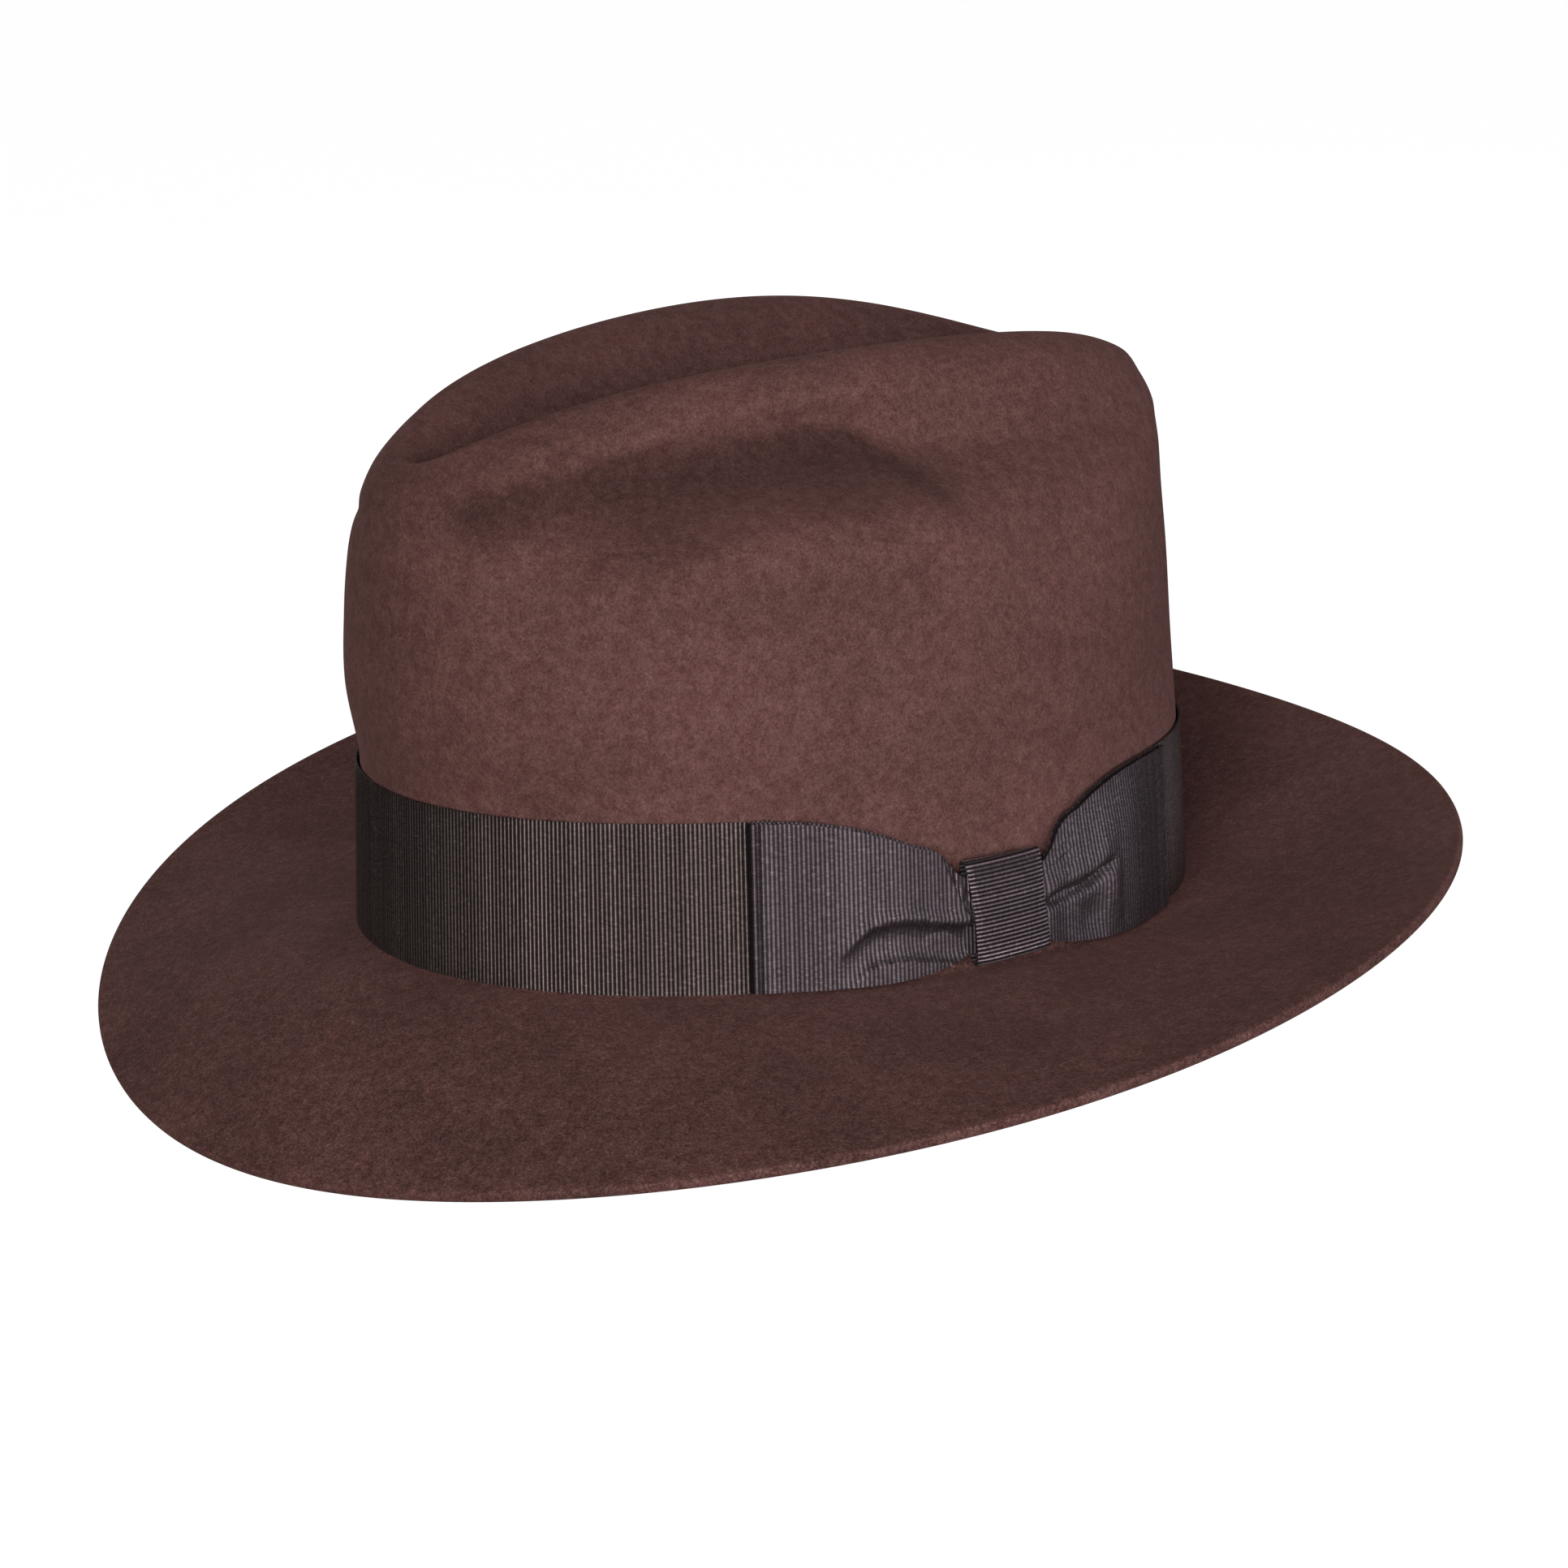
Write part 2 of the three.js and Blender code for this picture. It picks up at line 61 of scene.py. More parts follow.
FELT = 2.5
HALF_WIDTH = 89.0
HALF_LENGTH = 104.0
WALL_TAPER = 1.8
WALL_TOP = 40.0
BREAK_RADIUS = 1.2
BREAK_LEVEL = -0.9
BASE_EGG = 0.09
BASE_SQUARE = 0.012
BRIM_WIDTH = (67.8, 2.7, -8.8)
BRIM_WIDTH_SKEW = (0.0, 1.6, 1.2)
BRIM_EDGE_HEIGHT = (2.5, -24.8, -4.8, 0.0, -0.9)
BRIM_LEFT_DROP = 5.0
BRIM_CURVE = 1.5
CROWN_RINGS = (
    # z at front, side, rear; y at front, rear; half width; egg; square
    ((58, 60, 60), (-105.5, 100.5), 86.8, 0.1, 0.01),
    ((75, 79, 79), (-105.7, 100), 83.8, 0.12, 0.01),
    ((87, 94, 93), (-105.4, 99.7), 78.4, 0.15, 0.016),
    ((94, 103, 102), (-104.9, 99.5), 71.2, 0.2, 0.034),
    ((98.5, 108.5, 107.5), (-103.7, 99.1), 63.4, 0.25, 0.058),
    ((103, 113, 112), (-102.9, 98), 57.2, 0.29, 0.085),
    ((108.5, 120.5, 116.5), (-100.4, 95.6), 54.8, 0.32, 0.078),
    ((112.5, 129, 121), (-96.5, 92), 51.6, 0.36, 0.058),
    ((113.5, 134, 122.5), (-94.7, 84.5), 43.8, 0.4, 0.033),
    ((110, 131, 119), (-86, 75.5), 34.5, 0.43, 0.02),
    ((103, 120, 113), (-72, 63), 26, 0.45, 0.01),
    ((99, 107, 107), (-50, 46), 17, 0.42, 0),
    ((99, 101, 104), (-24, 26), 8.5, 0.3, 0),
)
DENT_CENTRE = (0.0, 4.0, 100.5)

# The pinch on each side: a groove that rises from the nose and falls again, and the fuller felt
# below and behind it. Reach is above and below; an end is where it starts and how long it fades.
GROOVE_TOP = 119.5
GROOVE_TOP_Y = -18.0
GROOVE_FALL = 13.0  # how far the groove's line falls 60 mm from its highest point
GROOVE_DEPTH = 5.0
GROOVE_REACH = (5.0, 8.0)
GROOVE_FRONT = (-94.0, 26.0)
GROOVE_REAR = (10.0, 24.0)
FULLNESS = 10.0
FULLNESS_DROP = 17.0
FULLNESS_REACH = (8.0, 16.0)
FULLNESS_FRONT = (-94.0, 35.0)
FULLNESS_REAR = (30.0, 50.0)
PINCH_PLAN = (60.0, 100.0)
# Height, middle y and z, and reach along y and z.
REAR_SWELL = (4.0, 24.0, 112.0, 20.0, 13.0)
SIDE_HOLLOW = (-1.2, -40.0, 82.0, 14.0, 13.0)

BAND_BOTTOM = 0.6
BAND_TOP = 38.5
BAND_OFFSET = 0.6
BAND_GAP = 54.0
BOW_REACH = 60.0
KNOT_HALF_WIDTH = 9.8
KNOT_BOTTOM = 1.2
KNOT_TOP = 25.0
RIB_PITCH = 1.0
RIB_DEPTH = 0.11
RIBBON_FOOT = -0.45

SWEATBAND = 1.2
SWEATBAND_OFFSET = -4.9
REED_RADIUS = 0.9
REED_HEIGHT = 0.6
REED_TAPE = 0.4
LINING_DEPTH = FELT + 0.7
LINING_SLACK = 2.2
PIPING_RADIUS = 0.8


# ---- small maths ----

def smooth(t):
    t = np.clip(t, 0.0, 1.0)
    return t * t * (3 - 2 * t)


def bump(x, middle, reach):
    """1 at the middle, falling smoothly to 0 at that reach from it."""
    return smooth(1 - np.abs(x - middle) / reach)


def cosine_sum(terms, angle):
    return sum(k * np.cos(i * angle) for i, k in enumerate(terms))


def sine_sum(terms, angle):
    return sum(k * np.sin(i * angle) for i, k in enumerate(terms))


def unit(v):
    return v / np.maximum(np.linalg.norm(v, axis=-1, keepdims=True), 1e-12)


def stack(x, y, z):
    return np.stack(np.broadcast_arrays(x, y, z), -1).astype(float)


def path_length(points):
    """The distance along a path to each of its points."""
    return np.concatenate([[0], np.cumsum(np.linalg.norm(np.diff(points, axis=0), axis=1))])


# ---- the felt's outer face ----

def oval(angle, ends, half, egg, square):
    fill = 1 + square * (1 - np.cos(4 * angle)) / 2
    middle, half_length = (ends[0] + ends[1]) / 2, (ends[1] - ends[0]) / 2
    x = half * np.sin(angle) * (1 - egg * np.cos(angle)) * fill
    return x, middle - half_length * np.cos(angle) * fill


def wall_oval(angle, height):
    lean = WALL_TAPER * height / WALL_TOP
    length = HALF_LENGTH - lean
    return oval(angle, (-length, length), HALF_WIDTH - lean, BASE_EGG, BASE_SQUARE)


def plan_normal(angle):
    step = 1e-4
    x0, y0 = wall_oval(angle - step, 0.0)
    x1, y1 = wall_oval(angle + step, 0.0)
    return unit(stack(y1 - y0, x0 - x1, 0.0))


def beside_wall(angle, height, out):
    """A point beside the straight wall, `out` millimetres outside the felt's outer face."""
    angle, height, out = np.broadcast_arrays(angle, height, out)
    x, y = wall_oval(angle, height)
    return stack(x, y, height) + plan_normal(angle) * out[..., None]


def brim_face(angle, share):
    width = cosine_sum(BRIM_WIDTH, angle) + sine_sum(BRIM_WIDTH_SKEW, angle)
    out = BREAK_RADIUS + (width - BREAK_RADIUS) * share
    edge = cosine_sum(BRIM_EDGE_HEIGHT, angle) - BRIM_LEFT_DROP * np.sin(angle)
    height = BREAK_LEVEL + (edge - BREAK_LEVEL) * share ** BRIM_CURVE
    x, y = wall_oval(angle, 0.0)
    return stack(x, y, height) + plan_normal(angle) * np.broadcast_to(out, height.shape)[..., None]


def fillet_face(angle, share):
    """Share 0 is the brim side of the break and 1 the wall side."""
    turn = share * math.pi / 2
    out = BREAK_RADIUS * (1 - np.sin(turn))
    return beside_wall(angle, BREAK_LEVEL + BREAK_RADIUS * (1 - np.cos(turn)), out)


def ring_point(angle, ring):
    heights, ends, half, egg, square = ring
    c = np.cos(angle)
    front, side, rear = heights
    rise = 0.46 * c ** 2 + 0.54 * c ** 4
    height = side + (front - rear) / 2 * c + ((front + rear) / 2 - side) * rise
    x, y = oval(angle, ends, half, egg, square)
    return stack(x, y, height)


WALL_STATIONS = (14.0, 26.0, WALL_TOP)
CROWN_START = len(WALL_STATIONS) - 1
CROWN_END = CROWN_START + len(CROWN_RINGS)
PINCH_END = CROWN_START + 8.5


def station(angle, k):
    if k < 0:
        return beside_wall(angle, BREAK_LEVEL + BREAK_RADIUS, 0.0)
    if k <= CROWN_START:
        return beside_wall(angle, WALL_STATIONS[k], 0.0)
    if k > CROWN_END:
        return np.broadcast_to(np.array(DENT_CENTRE), np.shape(angle) + (3,))
    return ring_point(angle, CROWN_RINGS[k - CROWN_START - 1])


def lump(y, z, shape):
    """A round swelling of the side, or a hollow where its height is negative."""
    height, middle_y, middle_z, reach_y, reach_z = shape
    return height * np.exp(-((y - middle_y) / reach_y) ** 2 - ((z - middle_z) / reach_z) ** 2)


def fold_profile(drop, reach):
    """1 on a fold's line, falling off with the distance above it, `drop`, by its reach."""
    above, below = reach
    return np.exp(-(drop / np.where(drop > 0, above, below)) ** 2)


def between(y, front, rear):
    """1 along a fold, fading to 0 at its front and rear end."""
    return smooth((y - front[0]) / front[1]) * smooth((rear[0] - y) / rear[1])


def pinch(point, place):
    """How far the fingers' pinch moves a point of the crown's outer face."""
    x, y, z = point[..., 0], point[..., 1], point[..., 2]
    line = GROOVE_TOP - GROOVE_FALL * ((y - GROOVE_TOP_Y) / 60) ** 2
    groove = fold_profile(z - line, GROOVE_REACH) * between(y, GROOVE_FRONT, GROOVE_REAR)
    full = fold_profile(z - line + FULLNESS_DROP, FULLNESS_REACH) * between(y, FULLNESS_FRONT, FULLNESS_REAR)
    out = FULLNESS * full - GROOVE_DEPTH * groove + lump(y, z, REAR_SWELL) + lump(y, z, SIDE_HOLLOW)
    # It fades out at the middle of the front, towards the band, and over the rim into the dent.
    reach = smooth((np.abs(x) - 2) / 22) * smooth((z - 42) / 16) * smooth((PINCH_END - place) / 2)
    aside = unit(stack(x / PINCH_PLAN[0] ** 2, (y + 3) / PINCH_PLAN[1] ** 2, 0.0))
    return aside * (out * reach)[..., None]


def crease_shade(point, place):
    """From 0 to 1, how far a point lies in the shaded lower side of the pinch's groove, which
    hooks down at its rear end."""
    y, z = point[..., 1], point[..., 2]
    line = 115.5 - 11 * ((y + 22) / 75) ** 2 - 9 * smooth((y + 13) / 14)
    along = between(y, (-106.0, 14.0), (4.0, 12.0))
    return fold_profile(z - line, (4.5, 8.0)) * along * smooth((PINCH_END + 0.5 - place) / 2)


def crown_face(angle, place):
    """The crown's outer face; `place` counts stations up from 14 mm above the break."""
    k = min(int(math.floor(place)), CROWN_END - 1)
    t = place - k
    a, b, c, d = (station(angle, k + i) for i in (-1, 0, 1, 2))
    face = b + ((c - a) * t + (2 * a - 5 * b + 4 * c - d) * t ** 2 + (3 * b - a - 3 * c + d) * t ** 3) / 2
    return face + pinch(face, place)


# ---- meshes ----

def grid_normals(points, wrap_u=False, wrap_v=False):
    """Normals of a grid of points, [u, v, 3], from its own neighbours."""
    def slope(axis, wrap):
        if wrap:
            return np.roll(points, -1, axis) - np.roll(points, 1, axis)
        return np.gradient(points, axis=axis)
    return unit(np.cross(slope(0, wrap_u), slope(1, wrap_v)))


def make_mesh(name, points, faces, uvs=None, sharp=None):
    """An object from points in millimetres; `uvs` are one pair per point, in millimetres too.
    Edges that turn more than `sharp` degrees stay sharp."""
    mesh = bpy.data.meshes.new(name)
    mesh.from_pydata((np.asarray(points) * MM).tolist(), [], [tuple(f) for f in faces])
    mesh.validate()
    mesh.polygons.foreach_set("use_smooth", [True] * len(mesh.polygons))
    if uvs is not None:
        layer = mesh.uv_layers.new(name="ribbon")
        index = np.zeros(len(mesh.loops), np.int32)
        mesh.loops.foreach_get("vertex_index", index)
        layer.data.foreach_set("uv", np.asarray(uvs, np.float32)[index].ravel())
    if sharp is not None:
        mesh.set_sharp_from_angle(angle=math.radians(sharp))
    mesh.update()
    thing = bpy.data.objects.new(name, mesh)
    bpy.context.scene.collection.objects.link(thing)
    return thing


def set_shade(piece, values):
    """Gives each point of a piece its own depth of shade, from 0 to 1, for its material to read."""
    layer = piece.data.attributes.new("shade", "FLOAT", "POINT")
    layer.data.foreach_set("value", np.asarray(values, np.float32).ravel())


def quads(index, wrap_u, wrap_v, flip=False):
    """Quads of a grid of point numbers, [u, v]."""
    if wrap_u:
        index = np.concatenate([index, index[:1]], 0)
    if wrap_v:
        index = np.concatenate([index, index[:, :1]], 1)
    a, b, c, d = index[:-1, :-1], index[1:, :-1], index[1:, 1:], index[:-1, 1:]
    corners = (a, d, c, b) if flip else (a, b, c, d)
    return np.stack([k.ravel() for k in corners], 1).tolist()


def sheet_solid(name, middle, thickness, wrap_u=False, uv=None, ribs=None, sharp=40, shade=None):
    """A closed sheet of that thickness about a grid of middle points, [u, v, 3].
    `ribs` is a height added to both faces, so that a rib stands out on each. `shade` darkens the
    ribbon where it is 1."""
    normals = grid_normals(middle, wrap_u)
    lift = 0.0 if ribs is None else ribs[..., None]
    upper = middle + normals * (thickness / 2 + lift)
    lower = middle - normals * (thickness / 2 + lift)
    count = middle.shape[0] * middle.shape[1]
    top = np.arange(count).reshape(middle.shape[:2])
    under = top + count
    faces = quads(top, wrap_u, False) + quads(under, wrap_u, False, flip=True)
    for column, flip in ((0, True), (-1, False)):
        edge = np.stack([top[:, column], under[:, column]], 1)
        faces += quads(edge, wrap_u, False, flip=flip)
    if not wrap_u:
        for row, flip in ((0, False), (-1, True)):
            edge = np.stack([top[row], under[row]], 1)
            faces += quads(edge, False, False, flip=flip)
    points = np.concatenate([upper.reshape(-1, 3), lower.reshape(-1, 3)])
    uvs = None
    if uv is not None:
        flat = uv.reshape(-1, 2)
        uvs = np.concatenate([flat, flat])
    piece = make_mesh(name, points, faces, uvs, sharp)
    if shade is not None:
        set_shade(piece, [shade, shade])
    return piece


def tube(name, centres, radius, sides):
    """A round cord along a closed loop of centre points, [n, 3]."""
    along = unit(np.roll(centres, -1, 0) - np.roll(centres, 1, 0))
    side = unit(np.cross(along, np.array([0.0, 0.0, 1.0])))
    other = np.cross(side, along)
    turn = np.arange(sides) * TAU / sides
    ring = side[:, None] * np.cos(turn)[None, :, None] + other[:, None] * np.sin(turn)[None, :, None]
    points = centres[:, None] + ring * radius
    index = np.arange(points.shape[0] * sides).reshape(points.shape[0], sides)
    uvs = stack(path_length(centres)[:, None], turn[None] * radius, 0.0)[..., :2]
    return make_mesh(name, points.reshape(-1, 3), quads(index, True, True), uvs.reshape(-1, 2))


# ---- materials ----

class Nodes:
    """A material's nodes, made and joined in one call each."""

    def __init__(self, name):
        self.material = bpy.data.materials.new(name)
        self.material.use_nodes = True
        self.tree = self.material.node_tree
        self.shader = self.tree.nodes["Principled BSDF"]

    def add(self, kind, inputs=(), **settings):
        node = self.tree.nodes.new(kind)
        for key, value in settings.items():
            setattr(node, key, value)
        for key, value in dict(inputs).items():
            self.put(node.inputs[key], value)
        return node

    def put(self, socket, value):
        if isinstance(value, bpy.types.NodeSocket):
            self.tree.links.new(value, socket)
        else:
            socket.default_value = value

    def math(self, operation, *values):
        node = self.tree.nodes.new("ShaderNodeMath")
        node.operation = operation
        for i, value in enumerate(values):
            self.put(node.inputs[i], value)
        return node.outputs[0]

    def scale(self, colour, factor):
        node = self.add("ShaderNodeVectorMath", operation="SCALE")
        self.put(node.inputs[0], colour)
        self.put(node.inputs["Scale"], factor)
        return node.outputs[0]

    def shade(self, to_dark):
        """1 where a piece has no shade of its own, falling to `to_dark` where it is deepest."""
        deep = self.add("ShaderNodeAttribute", attribute_name="shade").outputs["Fac"]
        return self.spread(deep, 0.0, 1.0, 1.0, to_dark)

    def mix(self, factor, a, b):
        node = self.tree.nodes.new("ShaderNodeMix")
        node.data_type = "RGBA"
        self.put(node.inputs[0], factor)
        self.put(node.inputs[6], a)
        self.put(node.inputs[7], b)
        return node.outputs[2]

    def spread(self, value, low, high, to_low=0.0, to_high=1.0):
        node = self.add("ShaderNodeMapRange", {0: value, 1: low, 2: high, 3: to_low, 4: to_high})
        node.interpolation_type = "SMOOTHSTEP"
        return node.outputs[0]

    def noise(self, vector, scale, detail=3.0, roughness=0.5, distortion=0.0, kind="FBM"):
        node = self.add("ShaderNodeTexNoise", noise_type=kind)
        self.put(node.inputs["Vector"], vector)
        self.put(node.inputs["Scale"], scale)
        self.put(node.inputs["Detail"], detail)
        self.put(node.inputs["Roughness"], roughness)
        self.put(node.inputs["Distortion"], distortion)
        return node.outputs[0]

    def bump(self, height, strength, distance, under=None):
        node = self.add("ShaderNodeBump", {"Strength": strength, "Distance": distance, "Height": height})
        if under is not None:
            self.tree.links.new(under, node.inputs["Normal"])
        return node.outputs[0]

    def finish(self, **sockets):
        for key, value in sockets.items():
            self.put(self.shader.inputs[key.replace("_", " ")], value)
        return self.material


def linear(red, green, blue):
    """A colour from 8-bit sRGB values."""
    def one(value):
        value /= 255
        return value / 12.92 if value <= 0.04045 else ((value + 0.055) / 1.055) ** 2.4
    return (one(red), one(green), one(blue), 1.0)


def felt_material():
    n = Nodes("brushed_felt")
    place = n.add("ShaderNodeTexCoord").outputs["Object"]
    patches = n.noise(place, 28.0, 2.0)
    mottle = n.noise(place, 330.0, 3.0, 0.6)
    clumps = n.noise(place, 1000.0, 3.0, 0.7, 0.8)
    grain = n.noise(place, 2100.0, 2.0, 0.6, 0.5)
    fibres = n.noise(place, 1500.0, 3.0, 0.6, 2.5, "RIDGED_MULTIFRACTAL")
    base = n.mix(n.spread(patches, 0.36, 0.64), linear(113, 77, 73), linear(115, 77, 74))
    base = n.mix(n.spread(mottle, 0.30, 0.70), base, linear(125, 89, 84))
    tuft = n.spread(clumps, 0.28, 0.74, 0.78, 1.24)
    cloud = n.spread(mottle, 0.25, 0.75, 0.96, 1.04)
    fine = n.spread(grain, 0.25, 0.75, 0.72, 1.28)
    strand = n.spread(fibres, 0.3, 1.5, 0.86, 1.22)
    tone = n.math("MULTIPLY", n.math("MULTIPLY", tuft, fine), n.math("MULTIPLY", strand, cloud))
    # Worn patches, and a coarser look to the nap of the brim.
    tone = n.math("MULTIPLY", tone, n.spread(patches, 0.32, 0.68, 0.93, 1.07))
    height = n.add("ShaderNodeSeparateXYZ", {0: place}).outputs[2]
    tone = n.math("POWER", tone, n.spread(height, 0.008, 0.016, 1.7, 1.0))
    # Painted shade: the felt is darkened along the lower side of the pinch's groove, where shade falls.
    tone = n.math("MULTIPLY", tone, n.shade(0.57))
    pile = n.math("ADD", n.math("MULTIPLY", clumps, 0.7), n.math("MULTIPLY", fibres, 0.3))
    normal = n.bump(pile, 0.7, 0.0006)
    normal = n.bump(mottle, 0.3, 0.0012, normal)
    return n.finish(
        Base_Color=n.scale(base, tone), Roughness=0.95, Specular_IOR_Level=0.1,
        Sheen_Weight=0.22, Sheen_Roughness=0.38, Sheen_Tint=linear(205, 150, 140), Normal=normal,
    )


def grosgrain_material(name, dark, light, pitch=RIB_PITCH):
    """Corded ribbon: nearly black ribs across its length whose filaments shine, with lighter specks here and
    there.
    Painted shade darkens the valleys between the ribs and a painted highlight lightens their tops."""
    n = Nodes(name)
    uv = n.add("ShaderNodeUVMap", uv_map="ribbon").outputs[0]
    parts = n.add("ShaderNodeSeparateXYZ", {0: uv})
    along, across = parts.outputs[0], parts.outputs[1]
    turns = n.math("DIVIDE", along, pitch)
    wave = n.math("COSINE", n.math("MULTIPLY", turns, TAU))
    rib = n.spread(wave, -0.7, 0.95)
    number = n.math("ROUND", turns)
    lot = n.add("ShaderNodeTexWhiteNoise", {"W": number}, noise_dimensions="1D").outputs["Value"]
    strand_place = n.add("ShaderNodeCombineXYZ", {0: n.math("MULTIPLY", number, 3.7), 1: across, 2: 0.0})
    grain = n.noise(strand_place.outputs[0], 1.6, 3.0, 0.7)
    warp = n.math("COSINE", n.math("MULTIPLY", across, TAU / 0.32))
    tone = n.math("MULTIPLY", n.spread(lot, 0.0, 1.0, 0.86, 1.14), n.spread(grain, 0.25, 0.75, 0.6, 1.4))
    # Painted shade: darker where the shade attribute marks the gap behind a bow loop's fold.
    tone = n.math("MULTIPLY", tone, n.shade(0.15))
    # Painted shade and highlight: the rib valleys take the dark colour and the rib tops the light one.
    colour = n.mix(rib, dark, light)
    colour = n.mix(n.spread(grain, 0.60, 0.72, 0.0, 0.35), colour, linear(150, 134, 128))
    normal = n.bump(warp, 0.35, 0.00005)
    normal = n.bump(grain, 0.4, 0.00012, normal)
    rough = n.spread(rib, 0.0, 1.0, 0.7, 0.36)
    return n.finish(
        Base_Color=n.scale(colour, tone), Roughness=rough, Metallic=0.85, Specular_IOR_Level=0.6,
        Normal=normal,
    )


def leather_material():
    n = Nodes("sweatband_leather")
    place = n.add("ShaderNodeTexCoord").outputs["Object"]
    cloud = n.noise(place, 45.0, 3.0)
    pebble = n.add("ShaderNodeTexVoronoi", {"Vector": place, "Scale": 900.0}, feature="DISTANCE_TO_EDGE")
    cells = pebble.outputs[0]
    wrinkle = n.noise(place, 260.0, 4.0, 0.6, 1.5)
    colour = n.mix(n.spread(cloud, 0.35, 0.65), linear(88, 56, 38), linear(104, 68, 46))
    colour = n.mix(n.spread(cells, 0.0, 0.12), linear(62, 38, 26), colour)
    normal = n.bump(cells, 0.35, 0.0002)
    normal = n.bump(wrinkle, 0.25, 0.0005, normal)
    rough = n.spread(wrinkle, 0.3, 0.7, 0.42, 0.58)
    return n.finish(Base_Color=colour, Roughness=rough, Specular_IOR_Level=0.45, Normal=normal)


def satin_material():
    n = Nodes("lining_satin")
    place = n.add("ShaderNodeTexCoord").outputs["Object"]
    cloud = n.noise(place, 30.0, 2.0)
    threads = n.add("ShaderNodeTexWave", {"Vector": place, "Scale": 900.0, "Distortion": 1.5},
                    bands_direction="Z").outputs[1]
    cross = n.add("ShaderNodeTexWave", {"Vector": place, "Scale": 700.0, "Distortion": 1.0},
                  bands_direction="DIAGONAL").outputs[1]
    weave = n.math("MULTIPLY", threads, cross)
    colour = n.mix(n.spread(cloud, 0.3, 0.7), linear(112, 86, 70), linear(126, 98, 80))
    colour = n.mix(n.spread(weave, 0.0, 1.0, 0.0, 0.25), colour, linear(84, 62, 50))
    normal = n.bump(weave, 0.15, 0.0001)
    return n.finish(
        Base_Color=colour, Roughness=0.34, Specular_IOR_Level=0.5,
        Sheen_Weight=0.2, Sheen_Roughness=0.3, Normal=normal,
    )


def tape_material():
    n = Nodes("woven_tape")
    uv = n.add("ShaderNodeUVMap", uv_map="ribbon").outputs[0]
    parts = n.add("ShaderNodeSeparateXYZ", {0: uv})
    along, across = parts.outputs[0], parts.outputs[1]
    warp = n.math("SINE", n.math("MULTIPLY", along, TAU / 0.5))
    weft = n.math("SINE", n.math("MULTIPLY", across, TAU / 0.5))
    weave = n.spread(n.math("MULTIPLY", warp, weft), -1.0, 1.0)
    fuzz = n.noise(n.add("ShaderNodeTexCoord").outputs["Object"], 1500.0, 3.0)
    colour = n.mix(weave, linear(42, 34, 32), linear(70, 58, 54))
    colour = n.mix(n.spread(fuzz, 0.3, 0.7, 0.0, 0.4), colour, linear(58, 47, 44))
    normal = n.bump(weave, 0.5, 0.0001)
    return n.finish(Base_Color=colour, Roughness=0.85, Specular_IOR_Level=0.2, Normal=normal)


def thread_material(name, colour, other):
    n = Nodes(name)
    place = n.add("ShaderNodeTexCoord").outputs["Object"]
    twist = n.add("ShaderNodeTexWave", {"Vector": place, "Scale": 1400.0, "Distortion": 2.0},
                  bands_direction="DIAGONAL").outputs[1]
    tone = n.mix(twist, colour, other)
    return n.finish(Base_Color=tone, Roughness=0.6, Specular_IOR_Level=0.4, Normal=n.bump(twist, 0.4, 0.0001))


def reed_material():
    n = Nodes("reed_plastic")
    place = n.add("ShaderNodeTexCoord").outputs["Object"]
    haze = n.noise(place, 300.0, 3.0)
    colour = n.mix(n.spread(haze, 0.3, 0.7), linear(216, 210, 196), linear(204, 197, 182))
    return n.finish(Base_Color=colour, Roughness=0.4, Normal=n.bump(haze, 0.1, 0.0001))


FLOOR_GLOW = 0.985


def floor_material():
    n = Nodes("pale_floor")
    place = n.add("ShaderNodeTexCoord").outputs["Object"]
    haze = n.noise(place, 3.0, 2.0)
    colour = n.mix(n.spread(haze, 0.3, 0.7), (0.20, 0.20, 0.20, 1), (0.22, 0.22, 0.22, 1))
    return n.finish(
        Base_Color=colour, Roughness=0.9, Specular_IOR_Level=0.0,
        Emission_Color=(1, 1, 1, 1), Emission_Strength=FLOOR_GLOW,
    )


# ---- the felt body ----

ROUND = 360
FACE_ANGLES = np.arange(ROUND) * TAU / ROUND


